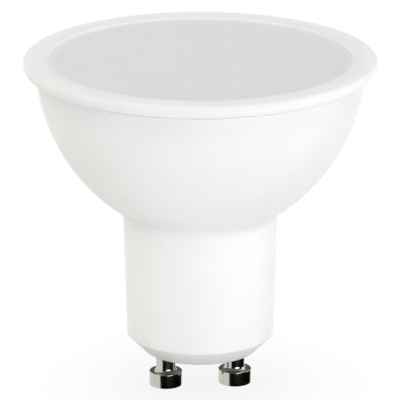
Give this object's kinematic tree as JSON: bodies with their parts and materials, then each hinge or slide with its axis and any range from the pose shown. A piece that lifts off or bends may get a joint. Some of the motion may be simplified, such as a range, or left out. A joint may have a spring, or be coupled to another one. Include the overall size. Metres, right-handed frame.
{
  "type": "gu10 spotlight bulb",
  "caption": "Mains spotlight bulb: white moulded bowl and neck, milky front cover with a rolled rim, and a bevelled twist-lock base with stud-shaped contact pins.",
  "frame": {"origin": "midway between the contact pins, on the plane of their feet", "axes": "+Z along the bulb's axis towards its lit front, +X along the line of the pins"},
  "size_m": [0.05, 0.05, 0.0488],
  "materials": {
    "white_moulding": "satin white moulded plastic",
    "milky_moulding": "milky diffusing plastic, satin",
    "nickel_plate": "nickel plate on turned brass"
  },
  "bodies": {
    "root": {"housing": "white_moulding", "front_cover": "milky_moulding", "contact_pin_left": "nickel_plate", "contact_pin_right": "nickel_plate"}
  },
  "joints": []
}
